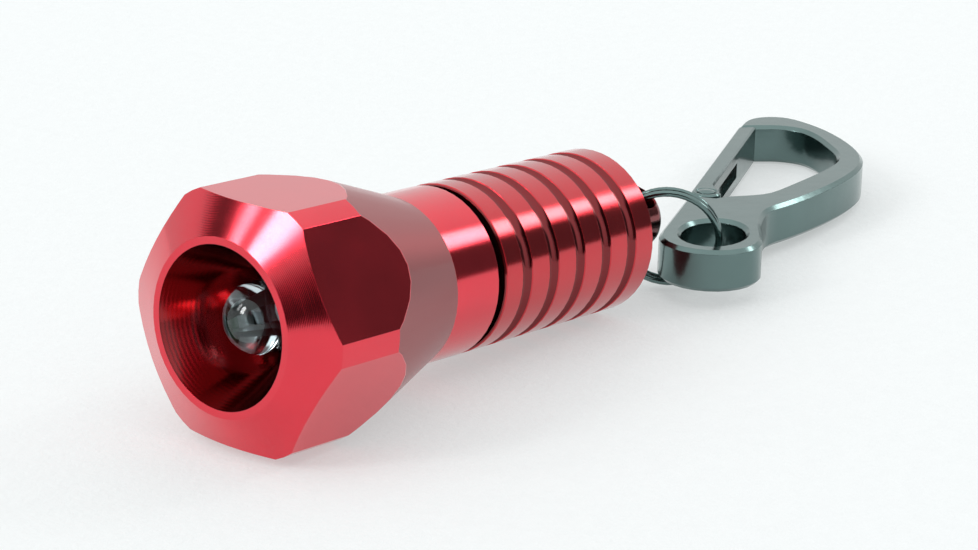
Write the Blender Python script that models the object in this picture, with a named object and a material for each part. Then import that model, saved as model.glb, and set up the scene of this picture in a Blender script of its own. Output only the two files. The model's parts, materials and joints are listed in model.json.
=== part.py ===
"""Keychain flashlight: a hexagonal screw-on head, a grooved battery tube, a split ring and a snap hook.

Lengths are in millimetres until a mesh is made. The flashlight is modelled along its own +Z,
from the front rim at 0 to the tail lug, with its own +X pointing at the floor. The snap hook is
modelled in its own plane: +X along the hook, +Y towards the gate, +Z out of its top face.
"""
import math

import bmesh
import bpy
from mathutils import Matrix, Vector

MM = 0.001
ROUND = 48
SMALL_ROUND = 24
WIRE_SIDES = 8
CLEARANCE = 0.05

# Head: one turned piece with six milled flats.
ACROSS_FLATS = 17.0
HEAD_RADIUS = 9.4
RIM_RADIUS = 6.18
OPENING_RADIUS = 5.65
FRONT_CONE_END = 1.74
REAR_CONE_START = 7.35
REAR_CONE_END = 17.1
HEAD_LENGTH = 21.7
CHAMBER_RADIUS = 5.05
CHAMBER_START = 8.4
SEAL_BORE_RADIUS = 5.5
SEAL_BORE_START = 20.4
LED_HOLE_RADIUS = 2.65
LED_HOLE_START = 5.4
REFLECTOR_STEPS = 5

# Light-emitting diode and the module behind it.
LED_RADIUS = 2.5
LED_DOME_CENTRE = 3.84
LED_BASE = 10.04
LED_FLANGE_RADIUS = 2.9
LED_FLANGE_THICKNESS = 1.0
LED_POCKET_RADIUS = 1.25
LED_POCKET_TOP = 5.4
BOARD_FRONT = 11.2
BOARD_THICKNESS = 1.0
BOARD_RADIUS = 4.85

# Battery tube, with the male thread as a plain cylinder.
TUBE_RADIUS = 6.2
TUBE_NOSE = 13.25
THREAD_RADIUS = 4.9
THREAD_END = 20.3
NECK_RADIUS = 4.6
SHOULDER = 22.42
TUBE_BORE_RADIUS = 4.35
TUBE_BORE_END = 37.5
TAIL_FACE = 39.8
FIRST_GROOVE = 24.25
GROOVE_PITCH = 3.06
GROOVE_WIDTH = 1.14
GROOVE_DEPTH = 0.42
GROOVE_COUNT = 5
LUG_RADIUS = 2.5
LUG_END = 46.3
LUG_ROUNDING = 0.9
LUG_HOLE_RADIUS = 1.3
LUG_HOLE_PLACE = 44.7
LUG_HOLE_ROLL = math.radians(25.0)

# Button cells in their sleeve, and the tail spring.
CELL_RADIUS = 3.95
CELL_HEIGHT = 3.6
CELL_COUNT = 4
FIRST_CELL = 15.1
SLEEVE_INNER = 4.03
SLEEVE_OUTER = 4.3
SPRING_RADIUS = 2.7
SPRING_WIRE = 0.3
SPRING_TURNS = 4.5

# Split ring: two coils of round wire.
RING_RADIUS = 3.9
RING_WIRE = 0.26
RING_COIL_STEP = 0.56
RING_NOTCH = math.radians(22.0)
RING_NOTCH_PLACE = math.radians(-140.0)
RING_HEADING = math.radians(-57.0)

# Snap hook.
HOOK_THICKNESS = 3.3
HOOK_EDGE = 0.3
HOOK_HEADING = math.radians(24.8)
HOOK_TILT = math.radians(1.9)
HOOK_LIFT = 1.22
HOOK_PLACE = (49.4, -4.9)
EYE_CENTRE = (-0.9, 0.2)
EYE_RADIUS = 4.0
EYE_HOLE_CENTRE = (0.2, 0.2)
EYE_HOLE_HALF = (3.6, 2.5)
GATE_PIVOT = (11.2, 2.9)
GATE_END_RADIUS = 1.2
GATE_OUTER = 4.1
GATE_INNER = 2.7
GATE_SLOT = (1.0, 2.3)
GATE_SLOT_END = 24.0
TONGUE = (1.15, 2.15)
RIVET_RADIUS = 0.7
RIVET_CLEARANCE = 0.08

# The flashlight lies on the rear edge of its lowest flat and on its tail rim.
FLAT_TIP = REAR_CONE_START + (HEAD_RADIUS - ACROSS_FLATS / 2) / (HEAD_RADIUS - TUBE_RADIUS) * (
    REAR_CONE_END - REAR_CONE_START
)
TORCH_TILT = math.atan2(ACROSS_FLATS / 2 - TUBE_RADIUS, TAIL_FACE - FLAT_TIP)
RIM_HEIGHT = ACROSS_FLATS / 2 * math.cos(TORCH_TILT) + FLAT_TIP * math.sin(TORCH_TILT)

# The middle of the whole object's footprint, which sits over the origin.
FOOTPRINT_CENTRE = (41.063, 1.934)


def clear_scene():
    """Remove every object, mesh, curve and material that the file starts with."""
    for item in list(bpy.data.objects):
        bpy.data.objects.remove(item, do_unlink=True)
    for store in (bpy.data.meshes, bpy.data.curves, bpy.data.materials):
        for item in list(store):
            store.remove(item)


def finish(name, color, metallic=0.0, roughness=0.4):
    """A plain Principled material."""
    material = bpy.data.materials.new(name)
    material.use_nodes = True
    shader = material.node_tree.nodes["Principled BSDF"]
    shader.inputs["Base Color"].default_value = (*color, 1.0)
    shader.inputs["Metallic"].default_value = metallic
    shader.inputs["Roughness"].default_value = roughness
    material.diffuse_color = (*color, 1.0)
    return material


def add_object(name, bm, material, parent, smooth_angle=35.0):
    """Turn a bmesh in millimetres into a named object in metres."""
    bmesh.ops.remove_doubles(bm, verts=bm.verts, dist=1e-5)
    bmesh.ops.recalc_face_normals(bm, faces=bm.faces)
    bmesh.ops.scale(bm, vec=(MM, MM, MM), verts=bm.verts)
    mesh = bpy.data.meshes.new(name)
    bm.to_mesh(mesh)
    bm.free()
    mesh.shade_smooth()
    mesh.set_sharp_from_angle(angle=math.radians(smooth_angle))
    item = bpy.data.objects.new(name, mesh)
    bpy.context.scene.collection.objects.link(item)
    if material is not None:
        mesh.materials.append(material)
    item.parent = parent
    return item


def turned(profile, segments=ROUND):
    """Spin a closed outline of (height, radius) points about Z; an edge on the axis makes no face."""
    bm = bmesh.new()
    rings = []
    for height, radius in profile:
        if radius < 1e-6:
            rings.append([bm.verts.new((0.0, 0.0, height))])
            continue
        ring = []
        for step in range(segments):
            turn = 2 * math.pi * step / segments
            ring.append(bm.verts.new((radius * math.cos(turn), radius * math.sin(turn), height)))
        rings.append(ring)
    for first, second in zip(rings, rings[1:] + rings[:1]):
        for step in range(segments):
            after = (step + 1) % segments
            corners = [
                first[step % len(first)],
                first[after % len(first)],
                second[after % len(second)],
                second[step % len(second)],
            ]
            corners = list(dict.fromkeys(corners))
            if len(corners) > 2:
                bm.faces.new(corners)
    return bm


def ring_profile(start, end, inner, outer):
    """The outline of a plain flat ring or tube."""
    return [(start, inner), (start, outer), (end, outer), (end, inner)]


def block(low, high):
    """A box between two corners."""
    bm = bmesh.new()
    bmesh.ops.create_cube(bm, size=1.0)
    size = [top - bottom for bottom, top in zip(low, high)]
    middle = [(top + bottom) / 2 for bottom, top in zip(low, high)]
    bmesh.ops.scale(bm, vec=size, verts=bm.verts)
    bmesh.ops.translate(bm, vec=middle, verts=bm.verts)
    return bm


def wire(points, radius, sides=WIRE_SIDES):
    """A closed round wire along a list of points, with flat ends."""
    bm = bmesh.new()
    side = None
    rings = []
    for index, point in enumerate(points):
        before = points[max(index - 1, 0)]
        after = points[min(index + 1, len(points) - 1)]
        along = (after - before).normalized()
        if side is None:
            side = along.orthogonal().normalized()
        side = (side - along * side.dot(along)).normalized()
        other = along.cross(side)
        ring = []
        for step in range(sides):
            turn = 2 * math.pi * step / sides
            offset = side * math.cos(turn) + other * math.sin(turn)
            ring.append(bm.verts.new(point + offset * radius))
        rings.append(ring)
    for first, second in zip(rings, rings[1:]):
        for step in range(sides):
            after = (step + 1) % sides
            bm.faces.new((first[step], first[after], second[after], second[step]))
    bm.faces.new(rings[0])
    bm.faces.new(rings[-1])
    return bm


def inset(outline, distance):
    """Move each corner of a counter-clockwise outline inwards by the same wall distance."""
    moved = []
    for index, corner in enumerate(outline):
        before = Vector(corner) - Vector(outline[index - 1])
        after = Vector(outline[(index + 1) % len(outline)]) - Vector(corner)
        before.normalize()
        after.normalize()
        normal = Vector((-before.y - after.y, before.x + after.x)).normalized()
        reach = max(normal.dot(Vector((-before.y, before.x))), 0.5)
        moved.append((corner[0] + normal.x * distance / reach, corner[1] + normal.y * distance / reach))
    return moved


def plate(outline, holes, levels):
    """A flat piece from its outline and holes, through levels of (height, edge inset)."""
    bm = bmesh.new()
    end_edges = {0: [], len(levels) - 1: []}
    for loop in [outline] + holes:
        layers = []
        for height, distance in levels:
            layers.append([bm.verts.new((x, y, height)) for x, y in inset(loop, distance)])
        for lower, upper in zip(layers, layers[1:]):
            for index in range(len(loop)):
                after = (index + 1) % len(loop)
                bm.faces.new((lower[index], lower[after], upper[after], upper[index]))
        for level, edges in end_edges.items():
            layer = layers[level]
            for index, vert in enumerate(layer):
                edges.append(bm.edges.get((vert, layer[(index + 1) % len(layer)])))
    for edges in end_edges.values():
        bmesh.ops.triangle_fill(bm, use_beauty=True, edges=edges)
    return bm


def arc(centre, radius, start, end, steps):
    """Points on an arc, with angles in degrees."""
    points = []
    for step in range(steps + 1):
        turn = math.radians(start + (end - start) * step / steps)
        points.append((centre[0] + radius * math.cos(turn), centre[1] + radius * math.sin(turn)))
    return points


def oval_hole(centre, half_sizes, steps=24):
    """A hole outline, clockwise, so that its edge insets open outwards."""
    points = []
    for step in range(steps):
        turn = -2 * math.pi * step / steps
        x = centre[0] + half_sizes[0] * math.cos(turn)
        y = centre[1] + half_sizes[1] * math.sin(turn)
        points.append((x, y))
    return points


def smooth_run(points, steps=3):
    """A Catmull-Rom curve through the points, without its two end guides."""
    run = []
    for before, start, end, after in zip(points, points[1:], points[2:], points[3:]):
        for step in range(steps):
            t = step / steps
            place = []
            for a, b, c, d in zip(before, start, end, after):
                bend = (2 * a - 5 * b + 4 * c - d) * t * t + (3 * b - a - 3 * c + d) * t ** 3
                place.append(0.5 * (2 * b + (c - a) * t + bend))
            run.append(tuple(place))
    run.append(points[-2])
    return run


def combine(target, other, operation):
    """Apply a Boolean and remove the second object."""
    other.hide_render = True
    other.display_type = "WIRE"
    modifier = target.modifiers.new(operation.lower(), "BOOLEAN")
    modifier.operation = operation
    modifier.solver = "EXACT"
    modifier.object = other
    bpy.context.view_layer.update()
    evaluated = target.evaluated_get(bpy.context.evaluated_depsgraph_get())
    mesh = bpy.data.meshes.new_from_object(evaluated)
    target.modifiers.clear()
    target.data = mesh
    mesh.shade_smooth()
    mesh.set_sharp_from_angle(angle=math.radians(35.0))
    bpy.data.objects.remove(other, do_unlink=True)


def add_empty(name, matrix, parent=None):
    """An empty that carries pieces with it."""
    empty = bpy.data.objects.new(name, None)
    bpy.context.scene.collection.objects.link(empty)
    empty.parent = parent
    empty.matrix_local = matrix
    return empty


def torch_to_ground():
    """From the flashlight's own axes to the ground, in millimetres."""
    lie_down = Matrix.Rotation(math.pi / 2 + TORCH_TILT, 4, "Y")
    return Matrix.Translation((-FOOTPRINT_CENTRE[0], -FOOTPRINT_CENTRE[1], RIM_HEIGHT)) @ lie_down


def hook_to_ground():
    """From the snap hook's own axes to the ground, in millimetres."""
    x = HOOK_PLACE[0] - FOOTPRINT_CENTRE[0]
    y = HOOK_PLACE[1] - FOOTPRINT_CENTRE[1]
    heading = Matrix.Rotation(HOOK_HEADING, 4, "Z")
    return Matrix.Translation((x, y, HOOK_LIFT)) @ heading @ Matrix.Rotation(HOOK_TILT, 4, "Y")


def lug_hole_axis():
    """The direction of the lug's hole on the ground, upwards."""
    own = Vector((-math.cos(LUG_HOLE_ROLL), -math.sin(LUG_HOLE_ROLL), 0.0))
    return (torch_to_ground().to_3x3() @ own).normalized()


def ring_to_ground():
    """From the split ring's own axes (it lies in its XY plane) to the ground, in millimetres."""
    hole = lug_hole_axis()
    level = Vector((math.cos(RING_HEADING), math.sin(RING_HEADING), 0.0))
    normal = level.cross(hole).normalized()
    across = hole.cross(normal).normalized()
    half_lug = math.sqrt(RING_RADIUS ** 2 - LUG_RADIUS ** 2)
    reach = (RING_RADIUS + half_lug) / 2
    centre = torch_to_ground() @ Vector((0.0, 0.0, LUG_HOLE_PLACE)) + across * reach
    upward = normal.cross(level)
    turn = Matrix((level, upward, normal)).transposed().to_4x4()
    return Matrix.Translation(centre) @ turn


def in_metres(matrix):
    """The same placement with its position in metres."""
    place = matrix.copy()
    place.translation = place.translation * MM
    return place


def reflector_profile():
    """The parabola from the hole round the diode out to the front opening."""
    points = []
    for step in range(REFLECTOR_STEPS):
        depth = LED_HOLE_START * (REFLECTOR_STEPS - step) / REFLECTOR_STEPS
        opened = 1.0 - depth / LED_HOLE_START
        square = LED_HOLE_RADIUS ** 2 + (OPENING_RADIUS ** 2 - LED_HOLE_RADIUS ** 2) * opened
        points.append((depth, math.sqrt(square)))
    return points


def make_head(parent, red):
    """The head shell, with its parabolic reflector, thread chamber and six flats."""
    head = add_object("head_shell", turned([
        (0.0, OPENING_RADIUS),
        (0.0, RIM_RADIUS),
        (FRONT_CONE_END, HEAD_RADIUS),
        (REAR_CONE_START, HEAD_RADIUS),
        (REAR_CONE_END, TUBE_RADIUS),
        (HEAD_LENGTH - 0.15, TUBE_RADIUS),
        (HEAD_LENGTH, TUBE_RADIUS - 0.15),
        (HEAD_LENGTH, SEAL_BORE_RADIUS),
        (SEAL_BORE_START, SEAL_BORE_RADIUS),
        (SEAL_BORE_START, CHAMBER_RADIUS),
        (CHAMBER_START, CHAMBER_RADIUS),
        (CHAMBER_START, LED_HOLE_RADIUS),
    ] + reflector_profile()), red, parent)
    prism_radius = ACROSS_FLATS / 2 / math.cos(math.pi / 6)
    prism = turned([(-1.0, 0.0), (-1.0, prism_radius), (HEAD_LENGTH + 1, prism_radius),
                    (HEAD_LENGTH + 1, 0.0)], segments=6)
    bmesh.ops.rotate(prism, matrix=Matrix.Rotation(math.pi / 6, 3, "Z"), verts=prism.verts)
    combine(head, add_object("hex_prism", prism, None, parent), "INTERSECT")
    return head


def make_led(parent, clear, silver):
    """The clear lens with its lead frame in an open-bottomed pocket."""
    profile = [(LED_DOME_CENTRE - LED_RADIUS, 0.0)]
    for x, y in arc((0.0, 0.0), LED_RADIUS, 90.0 - 12.0, 0.0, 6):
        profile.append((LED_DOME_CENTRE - y, x))
    flange = LED_BASE - LED_FLANGE_THICKNESS
    profile += [
        (flange, LED_RADIUS),
        (flange, LED_FLANGE_RADIUS),
        (LED_BASE, LED_FLANGE_RADIUS),
        (LED_BASE, LED_POCKET_RADIUS),
        (LED_POCKET_TOP, LED_POCKET_RADIUS),
        (LED_POCKET_TOP, 0.0),
    ]
    add_object("led_lens", turned(profile, SMALL_ROUND), clear, parent)
    top = LED_POCKET_TOP + 0.3
    foot = BOARD_FRONT - CLEARANCE
    flag = plate([(-1.0, -foot), (-0.5, -foot), (-0.5, -top - 1.6), (0.2, -top - 1.0),
                  (0.2, -top), (-1.0, -top)], [], [(-0.25, 0.0), (0.25, 0.0)])
    post = plate([(0.5, -foot), (1.0, -foot), (1.0, -top - 0.2), (0.5, -top - 0.2)],
                 [], [(-0.25, 0.0), (0.25, 0.0)])
    stand = Matrix.Rotation(-math.pi / 2, 3, "X")
    for name, bm in (("led_cathode_lead", flag), ("led_anode_lead", post)):
        bmesh.ops.rotate(bm, matrix=stand, verts=bm.verts)
        add_object(name, bm, silver, parent)


def make_module(parent, white, green, brass, black, rubber):
    """What sits behind the diode: its holder, seal, board, resistor and contacts."""
    board_back = BOARD_FRONT + BOARD_THICKNESS
    contact = board_back + CLEARANCE
    seal = ring_profile(CHAMBER_START + CLEARANCE, LED_BASE - LED_FLANGE_THICKNESS - CLEARANCE, 2.62, 4.6)
    add_object("led_seal", turned(seal, SMALL_ROUND), rubber, parent)
    holder = ring_profile(LED_BASE + CLEARANCE, BOARD_FRONT - CLEARANCE, 1.5, 4.8)
    add_object("led_holder", turned(holder, SMALL_ROUND), white, parent)
    board = [(BOARD_FRONT, 0.0), (BOARD_FRONT, BOARD_RADIUS), (board_back, BOARD_RADIUS), (board_back, 0.0)]
    add_object("circuit_board", turned(board, SMALL_ROUND), green, parent)
    add_object("limit_resistor", block((2.3, -0.8, contact), (3.2, 0.8, contact + 0.5)), black, parent)
    ring = ring_profile(contact, contact + 0.35, 4.15, 4.8)
    add_object("negative_ring", turned(ring, SMALL_ROUND), brass, parent)
    tip = FIRST_CELL - CLEARANCE
    stud = [(contact, 0.0), (contact, 1.6), (contact + 0.3, 1.6), (contact + 0.5, 1.0), (tip - 0.3, 0.8),
            (tip, 0.5), (tip, 0.0)]
    add_object("positive_contact", turned(stud, SMALL_ROUND), brass, parent)


def tube_profile():
    """The battery tube's outline, front to tail, then back along its bore."""
    profile = [
        (TUBE_NOSE, TUBE_BORE_RADIUS),
        (TUBE_NOSE, THREAD_RADIUS - 0.15),
        (TUBE_NOSE + 0.15, THREAD_RADIUS),
        (THREAD_END, THREAD_RADIUS),
        (THREAD_END + 0.2, NECK_RADIUS),
        (SHOULDER, NECK_RADIUS),
        (SHOULDER, TUBE_RADIUS - 0.15),
        (SHOULDER + 0.15, TUBE_RADIUS),
    ]
    for index in range(GROOVE_COUNT):
        start = FIRST_GROOVE + index * GROOVE_PITCH
        for part, depth in ((0.0, 0.0), (0.18, 0.75), (0.5, 1.0), (0.82, 0.75), (1.0, 0.0)):
            profile.append((start + part * GROOVE_WIDTH, TUBE_RADIUS - depth * GROOVE_DEPTH))
    profile += [(TAIL_FACE - 0.2, TUBE_RADIUS), (TAIL_FACE, TUBE_RADIUS - 0.2), (TAIL_FACE, LUG_RADIUS)]
    for x, y in arc((0.0, 0.0), LUG_ROUNDING, 0.0, 90.0, 4):
        profile.append((LUG_END - LUG_ROUNDING + y, LUG_RADIUS - LUG_ROUNDING + x))
    profile += [(LUG_END, 0.0), (TUBE_BORE_END, 0.0), (TUBE_BORE_END, TUBE_BORE_RADIUS)]
    return profile


def make_tube(parent, red, rubber, paper, steel):
    """The battery tube with its tail lug, its seal, the cells' sleeve and the tail spring."""
    tube = add_object("battery_tube", turned(tube_profile()), red, parent)
    drill = turned([(-3.0, 0.0), (-3.0, 1.9), (-1.9, LUG_HOLE_RADIUS), (1.9, LUG_HOLE_RADIUS),
                    (3.0, 1.9), (3.0, 0.0)], SMALL_ROUND)
    lean = Matrix.Rotation(LUG_HOLE_ROLL, 3, "Z") @ Matrix.Rotation(math.pi / 2, 3, "Y")
    bmesh.ops.rotate(drill, matrix=lean, verts=drill.verts)
    bmesh.ops.translate(drill, vec=(0.0, 0.0, LUG_HOLE_PLACE), verts=drill.verts)
    combine(tube, add_object("lug_drill", drill, None, parent), "DIFFERENCE")
    seal = [(21.5 + x, 5.0 + y) for x, y in arc((0.0, 0.0), 0.36, 0.0, 315.0, 7)]
    add_object("tube_seal", turned(seal, SMALL_ROUND), rubber, parent)
    sleeve = ring_profile(TUBE_NOSE + 0.9, TUBE_BORE_END - 0.3, SLEEVE_INNER, SLEEVE_OUTER)
    add_object("battery_sleeve", turned(sleeve, SMALL_ROUND), paper, parent)
    start = FIRST_CELL + CELL_COUNT * (CELL_HEIGHT + CLEARANCE) + SPRING_WIRE + CLEARANCE
    length = TUBE_BORE_END - SPRING_WIRE - CLEARANCE - start
    points = []
    count = int(SPRING_TURNS * 12)
    for step in range(count + 1):
        part = step / count
        turn = 2 * math.pi * SPRING_TURNS * part
        radius = SPRING_RADIUS * (0.75 + 0.25 * part)
        points.append(Vector((radius * math.cos(turn), radius * math.sin(turn), start + length * part)))
    add_object("tail_spring", wire(points, SPRING_WIRE, 5), steel, parent)


def make_cells(parent, steel):
    """The stack of button cells, positive cans to the tail."""
    for index in range(CELL_COUNT):
        low = FIRST_CELL + index * (CELL_HEIGHT + CLEARANCE)
        high = low + CELL_HEIGHT
        profile = [(low, 0.0), (low, 3.0), (low + 0.3, 3.1), (low + 0.3, 3.7), (low + 0.5, CELL_RADIUS),
                   (high - 0.2, CELL_RADIUS), (high, CELL_RADIUS - 0.2), (high, 0.0)]
        add_object("cell_%d" % (index + 1), turned(profile, SMALL_ROUND), steel, parent)


def make_ring(parent, nickel):
    """The split ring: two coils side by side, with a crossing where it is prised open."""
    start = RING_NOTCH
    end = 4 * math.pi - RING_NOTCH
    steps = 80
    points = []
    for step in range(steps + 1):
        turn = start + (end - start) * step / steps
        crossing = max(-1.0, min(1.0, (turn - 2 * math.pi) / RING_NOTCH))
        lift = RING_COIL_STEP / 2 * math.sin(crossing * math.pi / 2)
        place = turn + RING_NOTCH_PLACE
        points.append(Vector((RING_RADIUS * math.cos(place), RING_RADIUS * math.sin(place), lift)))
    add_object("split_ring", wire(points, RING_WIRE), nickel, parent)


def hook_outline():
    """The hook's outline, counter-clockwise: the gate side of the eye, the back arm, then the loop."""
    back = smooth_run([
        (0.5, -3.7), (2.6, -3.1), (5.4, -2.75), (8.1, -2.9), (11.4, -4.5), (15.3, -6.1), (19.2, -7.3),
        (22.9, -7.9), (26.6, -7.5), (30.2, -5.9), (33.6, -3.5), (35.9, -1.0), (36.8, 1.0), (36.2, 2.9),
        (34.6, 3.95), (32.2, 4.1), (31.0, 4.1),
    ])
    loop = smooth_run([
        (32.7, 3.6), (32.9, 2.4), (33.4, 0.8), (33.1, -1.1), (31.6, -2.6), (29.2, -4.0), (26.4, -5.3),
        (23.7, -5.6), (20.3, -4.8), (15.8, -3.2), (12.7, -1.9), (11.4, -0.4), (10.6, 1.0), (9.7, 1.9),
    ])
    eye = arc(EYE_CENTRE, EYE_RADIUS, 90.0, 285.0, 14)
    return eye + back[1:] + loop + [(9.7, 1.9), (9.7, GATE_OUTER)]


def make_hook(parent, nickel):
    """The cast hook with the tongue that the forked gate straddles, its rivet and the gate's spring."""
    top = HOOK_THICKNESS
    levels = [(0.0, HOOK_EDGE), (HOOK_EDGE, 0.0), (top - HOOK_EDGE, 0.0), (top, HOOK_EDGE)]
    body = plate(hook_outline(), [oval_hole(EYE_HOLE_CENTRE, EYE_HOLE_HALF)], levels)
    hook = add_object("hook_body", body, nickel, parent)
    tongue_end = arc(GATE_PIVOT, GATE_END_RADIUS - 0.1, -90.0, 90.0, 8)
    tongue = [(8.7, tongue_end[0][1])] + tongue_end + [(8.7, tongue_end[-1][1])]
    rivet_hole = oval_hole(GATE_PIVOT, (RIVET_RADIUS + RIVET_CLEARANCE,) * 2, 16)
    slab = plate(tongue, [rivet_hole], [(TONGUE[0], 0.0), (TONGUE[1], 0.0)])
    combine(hook, add_object("tongue", slab, None, parent), "UNION")
    rivet = turned([(0.05, 0.0), (0.05, RIVET_RADIUS), (top, RIVET_RADIUS), (top + 0.12, 0.35),
                    (top + 0.14, 0.0)], 16)
    bmesh.ops.translate(rivet, vec=(*GATE_PIVOT, 0.0), verts=rivet.verts)
    add_object("gate_rivet", rivet, nickel, parent)
    leaf_start = GATE_PIVOT[0] + GATE_END_RADIUS + 0.1
    leaf = block((leaf_start, 3.3, 1.3), (leaf_start + 3.2, 3.5, 2.0))
    add_object("gate_spring", leaf, nickel, parent)


def make_gate(parent, nickel):
    """The forked gate, with its origin on the rivet's axis."""
    top = HOOK_THICKNESS
    edge = 0.15
    pivot_end = arc(GATE_PIVOT, GATE_END_RADIUS, 90.0, 270.0, 10)
    outline = pivot_end + [(13.4, GATE_INNER), (32.6, GATE_INNER), (31.9, GATE_OUTER), (22.0, GATE_OUTER)]
    outline = [(x - GATE_PIVOT[0], y - GATE_PIVOT[1]) for x, y in outline]
    rivet_hole = oval_hole((0.0, 0.0), (RIVET_RADIUS + RIVET_CLEARANCE,) * 2, 16)
    levels = [(0.0, edge), (edge, 0.0), (top - edge, 0.0), (top, edge)]
    gate = add_object("hook_gate", plate(outline, [rivet_hole], levels), nickel, parent)
    gate.location = (GATE_PIVOT[0] * MM, GATE_PIVOT[1] * MM, 0.0)
    slot = block((-4.0, -4.0, GATE_SLOT[0]), (GATE_SLOT_END - GATE_PIVOT[0], 4.0, GATE_SLOT[1]))
    cutter = add_object("gate_slot", slot, None, parent)
    cutter.location = gate.location
    combine(gate, cutter, "DIFFERENCE")


def main():
    clear_scene()
    red = finish("anodised_red", (0.72, 0.05, 0.07), 1.0, 0.22)
    nickel = finish("black_nickel", (0.36, 0.43, 0.42), 1.0, 0.2)
    clear = finish("clear_epoxy", (0.86, 0.92, 0.93), 0.0, 0.05)
    silver = finish("tinned_lead", (0.75, 0.76, 0.76), 1.0, 0.3)
    steel = finish("bright_steel", (0.7, 0.7, 0.68), 1.0, 0.25)
    brass = finish("contact_brass", (0.8, 0.6, 0.25), 1.0, 0.3)
    white = finish("holder_plastic", (0.85, 0.85, 0.82), 0.0, 0.5)
    green = finish("board_green", (0.05, 0.25, 0.1), 0.0, 0.5)
    black = finish("resistor_black", (0.03, 0.03, 0.03), 0.0, 0.5)
    rubber = finish("seal_rubber", (0.02, 0.02, 0.02), 0.0, 0.7)
    paper = finish("sleeve_card", (0.8, 0.75, 0.62), 0.0, 0.8)

    torch = add_empty("torch_axis", in_metres(torch_to_ground()))
    ring = add_empty("ring_axis", in_metres(ring_to_ground()))
    hook = add_empty("hook_plane", in_metres(hook_to_ground()))

    make_head(torch, red)
    make_led(torch, clear, silver)
    make_module(torch, white, green, brass, black, rubber)
    make_tube(torch, red, rubber, paper, steel)
    make_cells(torch, steel)
    make_ring(ring, nickel)
    make_hook(hook, nickel)
    make_gate(hook, nickel)


main()
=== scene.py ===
"""Looks for the keychain flashlight: red anodising, a clear diode, black-nickel fittings and the studio.

Lengths that describe the flashlight are in millimetres along its own axes, which the frame gives: +Z from
the front rim to the tail and +X towards the floor. Meshes and positions handed to Blender are in metres.
"""
import json
import math

import bmesh
import bpy
from mathutils import Matrix, Vector


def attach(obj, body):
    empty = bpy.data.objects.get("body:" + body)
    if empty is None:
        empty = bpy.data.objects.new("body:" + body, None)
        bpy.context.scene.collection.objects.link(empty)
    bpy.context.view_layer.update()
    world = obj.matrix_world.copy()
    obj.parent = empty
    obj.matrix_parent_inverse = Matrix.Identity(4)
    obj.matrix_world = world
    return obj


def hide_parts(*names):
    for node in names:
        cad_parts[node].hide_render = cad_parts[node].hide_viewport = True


MM = 0.001

# Camera, as measured from the framing of the object.
CAMERA_PLACE = (-0.177766, -0.136980, 0.081355)
CAMERA_HEADING = math.radians(39.36)
CAMERA_DIP = math.radians(19.58)
CAMERA_ROLL = math.radians(0.94)
CAMERA_LENS = 114.11

# Clear diode, in millimetres. Its front tip comes from the frame.
DOME_RADIUS = 2.5
FLANGE_RADIUS = 2.9
FLANGE_THICKNESS = 1.0
CUP_RADIUS = 0.66
CUP_DEPTH = 0.55
CHIP_SIZE = 0.34
WIRE_RADIUS = 0.035

# The tube's thread, in millimetres.
THREAD_PITCH = 0.75
THREAD_ROOT = 4.88
THREAD_CREST = 5.02

# The head's satin zone behind the flats, in millimetres along its axis, and its flats' distance from it.
SATIN_ZONE = (7.35, 17.1)
FLAT_DISTANCE = 8.47

# Facets that meet below this angle, in degrees, are one round surface.
SHADING_ANGLE = 35
SHADING_ANGLES = {"head_shell": 15, "battery_tube": 44, "hook_body": 30, "hook_gate": 30, "split_ring": 60}
EDGE_BREAK = 5e-5

# Colours, scene-linear. The bowl and the grooves are the same metal as the rest, darkened to match the
# picture:
# their darker red is painted shade for these hollows, and the grooves are shallower here than they look in
# it.
HEAD_RED = (0.80, 0.034, 0.058)
TUBE_RED = (0.60, 0.026, 0.038)
GROOVE_PAINTED_SHADE = 0.30
BOWL_PAINTED_SHADE_RED = (0.26, 0.004, 0.009)
SATIN_RED = (0.31, 0.045, 0.050)
NICKEL = (0.155, 0.225, 0.218)
FLOOR = (0.42, 0.432, 0.434)
FLOOR_GLOW = 0.44

# Tool marks: their pitch and heights, in millimetres. They are finish, too fine to be shape.
TOOL_PITCH = 0.16
HEAD_TOOL_DEPTH = 0.0013
TUBE_TOOL_DEPTH = 0.0010
CHATTER_DEPTH = 0.0016
MILL_DEPTH = 0.0006
GRAIN_DEPTH = 0.0015
CHATTER_SCALE = 9.0
MILL_SCALE = 5.0
TURNED_ROUGHNESS = 0.14
CLOUD_ROUGHNESS = 0.10
SATIN_ROUGHNESS = 0.48

# Distances from the axis, in millimetres, that mark where the grooves, the bowl and the outer skin are.
GROOVE_EDGE = 6.12
BOWL_RADIUS = 5.66
OUTER_SKIN = 6.19

# Studio: the sky's level at the horizon and high up, and how high that is, in degrees.
SKY_LOW = 0.80
SKY_HIGH = 1.25
SKY_RISE = 60.0
# Its softboxes and dark parts, placed for this one camera, in degrees:
# (centre heading, centre height), (half width, half height), edge softness, brightness.
PANELS = (
    ((-45.0, 10.0), (26.0, 18.0), 8.0, 0.13),
    ((-27.0, 31.0), (9.0, 5.5), 3.0, 8.0),
    ((208.0, 16.0), (26.0, 22.0), 6.0, 0.04),
    ((124.0, 24.0), (9.0, 10.0), 5.0, 0.16),
    ((141.0, 32.0), (4.0, 9.0), 3.0, 7.0),
    ((161.0, 31.0), (6.5, 10.0), 3.0, 16.0),
)


def node(tree, kind, values=None, **settings):
    """Add a shader node; a value may be a number, a colour or another node's output."""
    item = tree.nodes.new(kind)
    for name, value in settings.items():
        setattr(item, name, value)
    for key, value in (values or {}).items():
        socket = item.inputs[key]
        if isinstance(value, bpy.types.NodeSocket):
            tree.links.new(value, socket)
        else:
            socket.default_value = value
    return item


def calc(tree, operation, *values, clamp=False):
    """A Math node's output."""
    inputs = dict(enumerate(values))
    return node(tree, "ShaderNodeMath", inputs, operation=operation, use_clamp=clamp).outputs[0]


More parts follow.
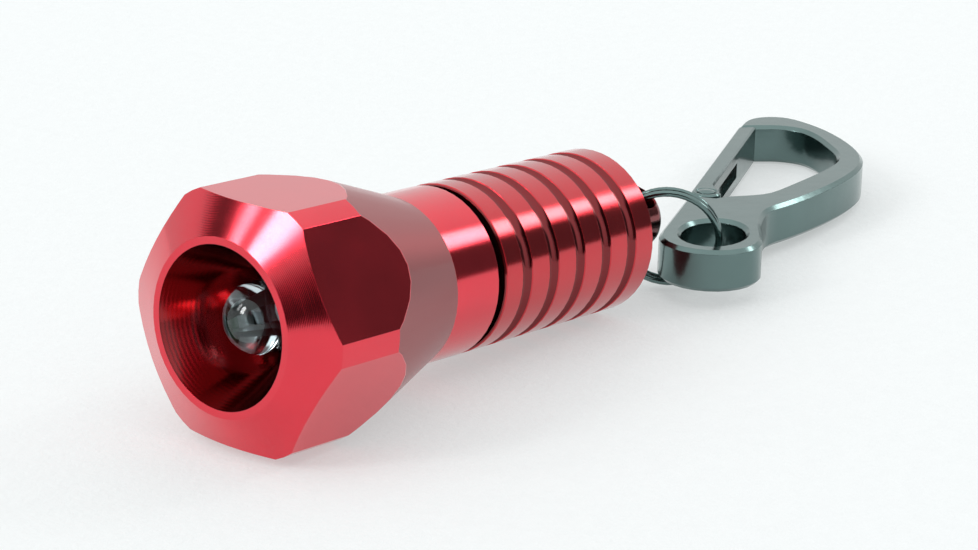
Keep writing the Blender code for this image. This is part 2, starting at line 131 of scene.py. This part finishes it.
def blend_numbers(tree, factor, low, high):
    """A number between two others."""
    mix = node(tree, "ShaderNodeMix", {"Factor": factor, "A": low, "B": high}, data_type="FLOAT")
    return mix.outputs["Result"]


def blend_colors(tree, factor, low, high):
    """A colour between two others."""
    mix = node(tree, "ShaderNodeMix", data_type="RGBA")
    for socket, value in ((mix.inputs["Factor"], factor), (mix.inputs[6], low), (mix.inputs[7], high)):
        if isinstance(value, bpy.types.NodeSocket):
            tree.links.new(value, socket)
        elif isinstance(value, tuple):
            socket.default_value = (*value, 1.0)
        else:
            socket.default_value = value
    return mix.outputs[2]


def noise(tree, where, scale, detail=3.0, roughness=0.5):
    """A noise texture's grey value."""
    values = {"Vector": where, "Scale": scale, "Detail": detail, "Roughness": roughness}
    return node(tree, "ShaderNodeTexNoise", values).outputs[0]


def new_material(name):
    """An empty Principled material: (material, tree, shader)."""
    material = bpy.data.materials.new(name)
    material.use_nodes = True
    return material, material.node_tree, material.node_tree.nodes["Principled BSDF"]


def object_place(tree):
    """The position on the piece at rest, in metres."""
    return node(tree, "ShaderNodeTexCoord").outputs["Object"]


def set_bump(tree, shader, height, distance, strength=1.0):
    """Feed a height into the shader's normal, over slightly broken edges; the distance is in metres."""
    broken = node(tree, "ShaderNodeBevel", {"Radius": EDGE_BREAK}, samples=4).outputs[0]
    bump = node(tree, "ShaderNodeBump", {"Height": height, "Distance": distance, "Strength": strength,
                                         "Normal": broken})
    tree.links.new(bump.outputs["Normal"], shader.inputs["Normal"])


def torch_coordinates(tree, torch):
    """The place along and out from the flashlight's axis, in millimetres, and its tools' direction."""
    turn = torch.to_euler()
    local = node(tree, "ShaderNodeMapping", {
        "Vector": object_place(tree),
        "Location": torch.translation,
        "Rotation": turn,
        "Scale": (MM, MM, MM),
    }, vector_type="TEXTURE").outputs[0]
    parts = node(tree, "ShaderNodeSeparateXYZ", {0: local}).outputs
    radius = calc(tree, "SQRT", calc(tree, "ADD", calc(tree, "MULTIPLY", parts[0], parts[0]),
                                     calc(tree, "MULTIPLY", parts[1], parts[1])))
    out_x = calc(tree, "DIVIDE", parts[0], radius)
    out_y = calc(tree, "DIVIDE", parts[1], radius)
    slope = node(tree, "ShaderNodeCombineXYZ", {0: out_x, 1: out_y, 2: 1.0}).outputs[0]
    turned = node(tree, "ShaderNodeVectorRotate", {"Vector": slope, "Rotation": turn},
                  rotation_type="EULER_XYZ").outputs[0]
    tangent = node(tree, "ShaderNodeVectorTransform", {0: turned}, vector_type="VECTOR",
                   convert_from="OBJECT", convert_to="WORLD").outputs[0]
    return parts, radius, tangent


def between(tree, value, low, high, soft=0.02):
    """1 between two limits and 0 outside them."""
    above = calc(tree, "DIVIDE", calc(tree, "SUBTRACT", value, low), soft, clamp=True)
    below = calc(tree, "DIVIDE", calc(tree, "SUBTRACT", high, value), soft, clamp=True)
    return calc(tree, "MULTIPLY", above, below)


def red_anodising(name, torch, red, tool_depth, with_flats=False):
    """Turned, anodised aluminium: tool rings, highlights stretched across them, and a clear oxide."""
    material, tree, shader = new_material(name)
    parts, radius, tangent = torch_coordinates(tree, torch)
    along = calc(tree, "ADD", parts[2], radius)
    place = object_place(tree)

    fine_rings = node(tree, "ShaderNodeTexNoise", {"W": along, "Scale": CHATTER_SCALE, "Detail": 2.0},
                      noise_dimensions="1D").outputs[0]
    feed = calc(tree, "SINE", calc(tree, "MULTIPLY", along, 2 * math.pi / TOOL_PITCH))
    chatter = calc(tree, "MULTIPLY", fine_rings, CHATTER_DEPTH)
    rings = calc(tree, "ADD", calc(tree, "MULTIPLY", feed, tool_depth), chatter)
    cloud = noise(tree, place, 260.0, 4.0)
    specks = noise(tree, place, 5200.0, 2.0)
    uneven = calc(tree, "MULTIPLY", calc(tree, "SUBTRACT", cloud, 0.5), CLOUD_ROUGHNESS)
    roughness = calc(tree, "ADD", TURNED_ROUGHNESS, uneven)
    deep = tuple(channel * 0.86 for channel in red)
    color = blend_colors(tree, cloud, deep, red)
    height = rings
    if with_flats:
        angle = calc(tree, "ARCTAN2", parts[1], parts[0])
        fold = calc(tree, "PINGPONG", angle, math.pi / 6)
        reach = calc(tree, "MULTIPLY", radius, calc(tree, "COSINE", fold))
        flat = calc(tree, "GREATER_THAN", reach, FLAT_DISTANCE)
        off_flats = calc(tree, "SUBTRACT", 1.0, flat)
        satin = calc(tree, "MULTIPLY", between(tree, parts[2], *SATIN_ZONE), off_flats)
        outside = calc(tree, "GREATER_THAN", radius, OUTER_SKIN)
        satin = calc(tree, "MULTIPLY", satin, outside)
        mill = node(tree, "ShaderNodeTexNoise", {"W": parts[2], "Scale": MILL_SCALE, "Detail": 3.0},
                    noise_dimensions="1D").outputs[0]
        height = blend_numbers(tree, flat, rings, calc(tree, "MULTIPLY", mill, MILL_DEPTH))
        grain = calc(tree, "MULTIPLY", specks, GRAIN_DEPTH)
        height = blend_numbers(tree, satin, height, grain)
        roughness = blend_numbers(tree, satin, roughness, SATIN_ROUGHNESS)
        color = blend_colors(tree, satin, color, SATIN_RED)
        # Painted shade: the bowl's inside is given a darker red, standing in for the shade in its deep
        # hollow.
        bowl = calc(tree, "LESS_THAN", radius, BOWL_RADIUS)
        color = blend_colors(tree, bowl, color, BOWL_PAINTED_SHADE_RED)
    else:
        # Painted shade: the red is darkened inside the grooves, below the outer skin.
        painted_groove_shade = calc(tree, "LESS_THAN", radius, GROOVE_EDGE)
        color = blend_colors(tree, painted_groove_shade, color, tuple(channel * GROOVE_PAINTED_SHADE for channel in red))
    tree.links.new(color, shader.inputs["Base Color"])
    tree.links.new(roughness, shader.inputs["Roughness"])
    tree.links.new(tangent, shader.inputs["Tangent"])
    shader.inputs["Metallic"].default_value = 1.0
    shader.inputs["Anisotropic"].default_value = 0.6
    shader.inputs["Coat Weight"].default_value = 0.6
    shader.inputs["Coat Roughness"].default_value = 0.10
    shader.inputs["Coat IOR"].default_value = 1.55
    set_bump(tree, shader, height, MM)
    return material


def black_nickel(name, roughness=0.14, waviness=1.0):
    """Plated castings: bright but grey, with a little orange peel and fine pits."""
    material, tree, shader = new_material(name)
    place = object_place(tree)
    peel = noise(tree, place, 900.0, 3.0)
    pits = noise(tree, place, 7000.0, 2.0)
    tone = noise(tree, place, 320.0, 4.0)
    color = blend_colors(tree, tone, tuple(channel * 0.8 for channel in NICKEL), NICKEL)
    tree.links.new(color, shader.inputs["Base Color"])
    spread = calc(tree, "ADD", roughness, calc(tree, "MULTIPLY", pits, 0.08))
    tree.links.new(spread, shader.inputs["Roughness"])
    shader.inputs["Metallic"].default_value = 1.0
    height = calc(tree, "ADD", calc(tree, "MULTIPLY", peel, waviness), calc(tree, "MULTIPLY", pits, 0.06))
    set_bump(tree, shader, height, 1.4e-5)
    return material


def metal(name, color, roughness, scale=2500.0):
    """A plain metal with fine handling marks."""
    material, tree, shader = new_material(name)
    place = object_place(tree)
    marks = noise(tree, place, scale, 5.0, 0.65)
    tone = noise(tree, place, scale / 8, 3.0)
    shade = blend_colors(tree, tone, tuple(channel * 0.82 for channel in color), color)
    tree.links.new(shade, shader.inputs["Base Color"])
    spread = calc(tree, "ADD", roughness, calc(tree, "MULTIPLY", marks, 0.12))
    tree.links.new(spread, shader.inputs["Roughness"])
    shader.inputs["Metallic"].default_value = 1.0
    set_bump(tree, shader, marks, 1.0e-6)
    return material


def dull(name, color, roughness, scale, depth, spread=0.2):
    """Plastic, rubber or card with its own grain."""
    material, tree, shader = new_material(name)
    place = object_place(tree)
    grain = noise(tree, place, scale, 4.0, 0.6)
    tone = noise(tree, place, scale / 6, 3.0)
    dark = tuple(channel * (1.0 - spread) for channel in color)
    tree.links.new(blend_colors(tree, tone, dark, color), shader.inputs["Base Color"])
    uneven = calc(tree, "ADD", roughness, calc(tree, "MULTIPLY", grain, 0.1))
    tree.links.new(uneven, shader.inputs["Roughness"])
    set_bump(tree, shader, grain, depth)
    return material


def clear_epoxy(name):
    """Water-clear cast epoxy with slight swirls from its mould."""
    material, tree, shader = new_material(name)
    place = object_place(tree)
    swirl = noise(tree, place, 700.0, 2.0)
    shader.inputs["Base Color"].default_value = (0.74, 0.88, 0.92, 1.0)
    shader.inputs["Transmission Weight"].default_value = 1.0
    shader.inputs["IOR"].default_value = 1.52
    tree.links.new(calc(tree, "MULTIPLY", swirl, 0.05), shader.inputs["Roughness"])
    set_bump(tree, shader, swirl, 6.0e-6)
    return material


def paper_floor():
    """A pale, faintly textured sheet that glows a little, as if lit from below, to lighten the shadow."""
    material, tree, shader = new_material("paper")
    place = object_place(tree)
    fibres = noise(tree, place, 1500.0, 5.0, 0.6)
    shade = blend_colors(tree, noise(tree, place, 700.0, 4.0), tuple(c * 0.93 for c in FLOOR), FLOOR)
    tree.links.new(shade, shader.inputs["Base Color"])
    shader.inputs["Roughness"].default_value = 0.9
    shader.inputs["Specular IOR Level"].default_value = 0.15
    shader.inputs["Emission Color"].default_value = (0.97, 1.0, 1.0, 1.0)
    shader.inputs["Emission Strength"].default_value = FLOOR_GLOW
    set_bump(tree, shader, fibres, 2.0e-4, 0.5)
    return material


def torch_matrix(record):
    """From the flashlight's own axes to the row frame, in metres, read from its twist joint."""
    twist = next(joint for joint in record["behaviour"]["joints"] if joint["name"] == "head_twist")
    axis = Vector(twist["axis"]).normalized()
    turn = Matrix.Rotation(math.atan2(axis.x, axis.z), 4, "Y")
    return Matrix.Translation(twist["pos_m"]) @ turn


def torch_span(torch, item):
    """The lowest and highest place of a CAD node along the flashlight's axis, in millimetres."""
    back = torch.inverted()
    places = [(back @ vertex.co).z / MM for vertex in item.data.vertices]
    return min(places), max(places)


def place_piece(name, bm, torch, material, body, smooth_angle=40.0):
    """Make an object from a bmesh in the flashlight's millimetres, and ride it on its body."""
    bmesh.ops.remove_doubles(bm, verts=bm.verts, dist=1e-6)
    bmesh.ops.recalc_face_normals(bm, faces=bm.faces)
    bmesh.ops.transform(bm, matrix=torch @ Matrix.Scale(MM, 4), verts=bm.verts)
    mesh = bpy.data.meshes.new(name)
    bm.to_mesh(mesh)
    bm.free()
    mesh.shade_smooth()
    mesh.set_sharp_from_angle(angle=math.radians(smooth_angle))
    mesh.materials.append(material)
    item = bpy.data.objects.new(name, mesh)
    bpy.context.scene.collection.objects.link(item)
    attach(item, body)
    return item


def turned(profile, segments):
    """Spin an outline of (height, radius) points about Z; it ends on the axis or closes on itself."""
    bm = bmesh.new()
    rings = []
    for height, radius in profile:
        if radius < 1e-6:
            rings.append([bm.verts.new((0.0, 0.0, height))])
            continue
        ring = []
        for step in range(segments):
            turn = 2 * math.pi * step / segments
            ring.append(bm.verts.new((radius * math.cos(turn), radius * math.sin(turn), height)))
        rings.append(ring)
    for first, second in zip(rings, rings[1:] + rings[:1]):
        for step in range(segments):
            after = (step + 1) % segments
            corners = [
                first[step % len(first)],
                first[after % len(first)],
                second[after % len(second)],
                second[step % len(second)],
            ]
            corners = list(dict.fromkeys(corners))
            if len(corners) > 2:
                bm.faces.new(corners)
    return bm


def wire(points, radius, sides=8):
    """A round wire along a list of points, with flat ends."""
    bm = bmesh.new()
    side = (points[1] - points[0]).orthogonal().normalized()
    rings = []
    for index, point in enumerate(points):
        along = (points[min(index + 1, len(points) - 1)] - points[max(index - 1, 0)]).normalized()
        side = (side - along * side.dot(along)).normalized()
        other = along.cross(side)
        ring = []
        for step in range(sides):
            turn = 2 * math.pi * step / sides
            ring.append(bm.verts.new(point + (side * math.cos(turn) + other * math.sin(turn)) * radius))
        rings.append(ring)
    for first, second in zip(rings, rings[1:]):
        for step in range(sides):
            after = (step + 1) % sides
            bm.faces.new((first[step], first[after], second[after], second[step]))
    bm.faces.new(rings[0])
    bm.faces.new(rings[-1])
    return bm


def make_diode(torch, nodes, finishes):
    """The cast diode and what shows inside it: the cup, the coated chip and its bond wire."""
    tip, base = torch_span(torch, nodes["led_lens"])
    lead_top = torch_span(torch, nodes["led_cathode_lead"])[0]
    centre = tip + DOME_RADIUS
    profile = [(tip, 0.0)]
    for step in range(1, 25):
        turn = math.pi / 2 * step / 24
        profile.append((centre - DOME_RADIUS * math.cos(turn), DOME_RADIUS * math.sin(turn)))
    flange = base - FLANGE_THICKNESS
    profile += [(flange - 0.1, DOME_RADIUS), (flange, DOME_RADIUS + 0.1), (flange, FLANGE_RADIUS - 0.1),
                (flange + 0.1, FLANGE_RADIUS), (base - 0.1, FLANGE_RADIUS), (base, FLANGE_RADIUS - 0.1),
                (base, 0.0)]
    dome = place_piece("led_dome", turned(profile, 96), torch, finishes["epoxy"], "led_module")
    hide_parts("led_lens")

    floor = lead_top + 0.06
    brim = floor - CUP_DEPTH
    cup = turned([(floor, 0.0), (floor, 0.4), (brim, CUP_RADIUS), (brim, CUP_RADIUS - 0.06),
                  (floor - 0.14, 0.3), (floor - 0.14, 0.0)], 48)
    place_piece("led_cup", cup, torch, finishes["silver"], "led_module")

    chip = bmesh.new()
    bmesh.ops.create_cube(chip, size=1.0)
    bmesh.ops.scale(chip, vec=(CHIP_SIZE, CHIP_SIZE, 0.12), verts=chip.verts)
    bmesh.ops.bevel(chip, geom=chip.edges, offset=0.02, segments=2, affect="EDGES")
    bmesh.ops.translate(chip, vec=(0.0, 0.0, floor - 0.21), verts=chip.verts)
    place_piece("led_chip", chip, torch, finishes["phosphor"], "led_module")

    start = Vector((0.08, 0.0, floor - 0.27))
    end = Vector((0.75, 0.0, lead_top + 0.18))
    points = []
    for step in range(17):
        part = step / 16
        point = start.lerp(end, part)
        point.z -= 0.62 * math.sin(math.pi * part) ** 0.8
        points.append(point)
    bond = wire(points, WIRE_RADIUS)
    place_piece("led_bond_wire", bond, torch, finishes["brass"], "led_module")


def make_thread(torch, nodes, finishes):
    """The helical ridge of the tube's thread, between its nose and its neck."""
    nose = torch_span(torch, nodes["battery_tube"])[0]
    start = nose + 0.5
    end = nose + 6.9
    turns = (end - start) / THREAD_PITCH
    steps = int(turns * 48)
    outline = ((-0.30, -0.02), (-0.08, 1.0), (0.08, 1.0), (0.30, -0.02))
    bm = bmesh.new()
    sections = []
    for step in range(steps + 1):
        part = step / steps
        turn = -2 * math.pi * turns * part
        fade = min(1.0, part * turns * 2, (1 - part) * turns * 2)
        section = []
        for shift, lift in outline:
            radius = THREAD_ROOT + (THREAD_CREST - THREAD_ROOT) * lift * max(fade, 0.05)
            height = start + (end - start) * part + shift * THREAD_PITCH
            section.append(bm.verts.new((radius * math.cos(turn), radius * math.sin(turn), height)))
        sections.append(section)
    for first, second in zip(sections, sections[1:]):
        for index in range(4):
            after = (index + 1) % 4
            bm.faces.new((first[index], first[after], second[after], second[index]))
    bm.faces.new(sections[0])
    bm.faces.new(sections[-1])
    place_piece("tube_thread", bm, torch, finishes["red"], "tube", 30.0)


def shading_group(angle):
    """Geometry nodes that join a CAD node's split facets and shade them round below an angle, in degrees."""
    group = bpy.data.node_groups.new("round_shading_%d" % angle, "GeometryNodeTree")
    group.interface.new_socket("Geometry", in_out="INPUT", socket_type="NodeSocketGeometry")
    group.interface.new_socket("Geometry", in_out="OUTPUT", socket_type="NodeSocketGeometry")
    source = group.nodes.new("NodeGroupInput").outputs[0]
    plain = node(group, "GeometryNodeRemoveAttribute", {0: source, "Name": "custom_normal"}).outputs[0]
    joined = node(group, "GeometryNodeMergeByDistance", {0: plain, "Distance": 2e-6}).outputs[0]
    smooth = node(group, "GeometryNodeSetShadeSmooth", {0: joined, "Shade Smooth": True},
                  domain="FACE").outputs[0]
    bend = node(group, "GeometryNodeInputMeshEdgeAngle").outputs["Unsigned Angle"]
    gentle = node(group, "FunctionNodeCompare", {0: bend, 1: math.radians(angle)}, data_type="FLOAT",
                  operation="LESS_THAN").outputs[0]
    result = node(group, "GeometryNodeSetShadeSmooth", {0: smooth, "Shade Smooth": gentle},
                  domain="EDGE").outputs[0]
    node(group, "NodeGroupOutput", {0: result})
    return group


def round_facets(nodes):
    """Shade every CAD node's round surfaces smoothly, each below its own angle."""
    groups = {}
    for name, item in nodes.items():
        angle = SHADING_ANGLES.get(name, SHADING_ANGLE)
        if angle not in groups:
            groups[angle] = shading_group(angle)
        item.modifiers.new("round_shading", "NODES").node_group = groups[angle]


def dress(nodes, finishes):
    """Give each CAD node its finish."""
    wanted = {
        "head_shell": "red_head",
        "battery_tube": "red",
        "led_cathode_lead": "silver",
        "led_anode_lead": "silver",
        "led_seal": "rubber",
        "led_holder": "white",
        "circuit_board": "green",
        "limit_resistor": "black",
        "negative_ring": "brass",
        "positive_contact": "brass",
        "tube_seal": "rubber",
        "battery_sleeve": "card",
        "tail_spring": "steel",
        "cell_1": "steel",
        "cell_2": "steel",
        "cell_3": "steel",
        "cell_4": "steel",
        "split_ring": "ring",
        "hook_body": "nickel",
        "gate_rivet": "nickel",
        "gate_spring": "steel",
        "hook_gate": "nickel",
    }
    for name, finish in wanted.items():
        mesh = nodes[name].data
        if not mesh.materials:
            mesh.materials.append(finishes[finish])
        for index in range(len(mesh.materials)):
            mesh.materials[index] = finishes[finish]


def patch(tree, heading, height, centre, half, soft):
    """1 inside a soft-edged window of the sky, given in degrees as (heading, height)."""
    mask = None
    sides = (
        (calc(tree, "PINGPONG", calc(tree, "SUBTRACT", heading, math.radians(centre[0])), math.pi), half[0]),
        (calc(tree, "ABSOLUTE", calc(tree, "SUBTRACT", height, math.radians(centre[1]))), half[1]),
    )
    for distance, reach in sides:
        inside = calc(tree, "SUBTRACT", math.radians(reach), distance)
        side = calc(tree, "ADD", calc(tree, "DIVIDE", inside, math.radians(soft)), 0.5, clamp=True)
        mask = side if mask is None else calc(tree, "MULTIPLY", mask, side)
    return mask


def make_studio():
    """A white sweep of light with softboxes and the darker parts of the room around the camera."""
    world = bpy.data.worlds.new("studio")
    bpy.context.scene.world = world
    world.use_nodes = True
    tree = world.node_tree
    direction = node(tree, "ShaderNodeTexCoord").outputs["Generated"]
    parts = node(tree, "ShaderNodeSeparateXYZ", {0: direction}).outputs
    heading = calc(tree, "ARCTAN2", parts[1], parts[0])
    height = calc(tree, "ARCSINE", parts[2])
    rise = calc(tree, "DIVIDE", height, math.radians(SKY_RISE), clamp=True)
    level = blend_numbers(tree, rise, SKY_LOW, SKY_HIGH)
    for centre, half, soft, brightness in PANELS:
        mask = patch(tree, heading, height, centre, half, soft)
        level = blend_numbers(tree, mask, level, brightness)
    tree.nodes["Background"].inputs["Color"].default_value = (0.985, 1.0, 1.0, 1.0)
    tree.links.new(level, tree.nodes["Background"].inputs["Strength"])


def make_floor():
    """The pale surface that the flashlight lies on."""
    bm = bmesh.new()
    bmesh.ops.create_grid(bm, x_segments=4, y_segments=4, size=1.6)
    mesh = bpy.data.meshes.new("floor")
    bm.to_mesh(mesh)
    bm.free()
    mesh.materials.append(paper_floor())
    item = bpy.data.objects.new("floor", mesh)
    item.location.z = -2e-5
    bpy.context.scene.collection.objects.link(item)


def make_camera():
    """The camera, placed and turned as the picture is framed."""
    data = bpy.data.cameras.new("camera")
    data.lens = CAMERA_LENS
    data.sensor_width = 36.0
    data.clip_start = 0.01
    item = bpy.data.objects.new("camera", data)
    heading = Matrix.Rotation(CAMERA_HEADING - math.pi / 2, 4, "Z")
    dip = Matrix.Rotation(math.pi / 2 - CAMERA_DIP, 4, "X")
    roll = Matrix.Rotation(CAMERA_ROLL, 4, "Z")
    item.matrix_world = Matrix.Translation(CAMERA_PLACE) @ heading @ dip @ roll
    bpy.context.scene.collection.objects.link(item)
    bpy.context.scene.camera = item


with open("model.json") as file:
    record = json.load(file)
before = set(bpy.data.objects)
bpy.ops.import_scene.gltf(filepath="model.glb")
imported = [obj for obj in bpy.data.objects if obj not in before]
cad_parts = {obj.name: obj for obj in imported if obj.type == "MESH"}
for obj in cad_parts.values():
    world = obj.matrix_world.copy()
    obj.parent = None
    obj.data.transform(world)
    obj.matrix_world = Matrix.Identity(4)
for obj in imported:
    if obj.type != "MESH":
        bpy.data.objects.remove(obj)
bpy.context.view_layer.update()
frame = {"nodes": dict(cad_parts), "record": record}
nodes = frame["nodes"]
torch = torch_matrix(frame["record"])

finishes = {
    "red_head": red_anodising("red_head", torch, HEAD_RED, HEAD_TOOL_DEPTH, with_flats=True),
    "red": red_anodising("red_tube", torch, TUBE_RED, TUBE_TOOL_DEPTH),
    "nickel": black_nickel("black_nickel"),
    "ring": black_nickel("ring_nickel", 0.1, 0.2),
    "epoxy": clear_epoxy("clear_epoxy"),
    "phosphor": dull("phosphor", (0.52, 0.50, 0.34), 0.6, 9000.0, 2e-6),
    "silver": metal("tinned_lead", (0.50, 0.53, 0.55), 0.24),
    "steel": metal("bright_steel", (0.70, 0.69, 0.66), 0.2),
    "brass": metal("contact_brass", (0.83, 0.62, 0.27), 0.22),
    "white": dull("holder_plastic", (0.82, 0.82, 0.79), 0.45, 1800.0, 3e-6, 0.06),
    "green": dull("board_green", (0.03, 0.2, 0.08), 0.35, 2600.0, 4e-6, 0.3),
    "black": dull("resistor_black", (0.03, 0.03, 0.032), 0.4, 3000.0, 3e-6),
    "rubber": dull("seal_rubber", (0.022, 0.022, 0.023), 0.5, 2200.0, 4e-6),
    "card": dull("sleeve_card", (0.76, 0.7, 0.56), 0.75, 1500.0, 1e-5),
}
dress(nodes, finishes)
round_facets(nodes)
make_diode(torch, nodes, finishes)
make_thread(torch, nodes, finishes)

make_floor()
make_studio()
make_camera()
bpy.context.scene.view_settings.view_transform = "Standard"
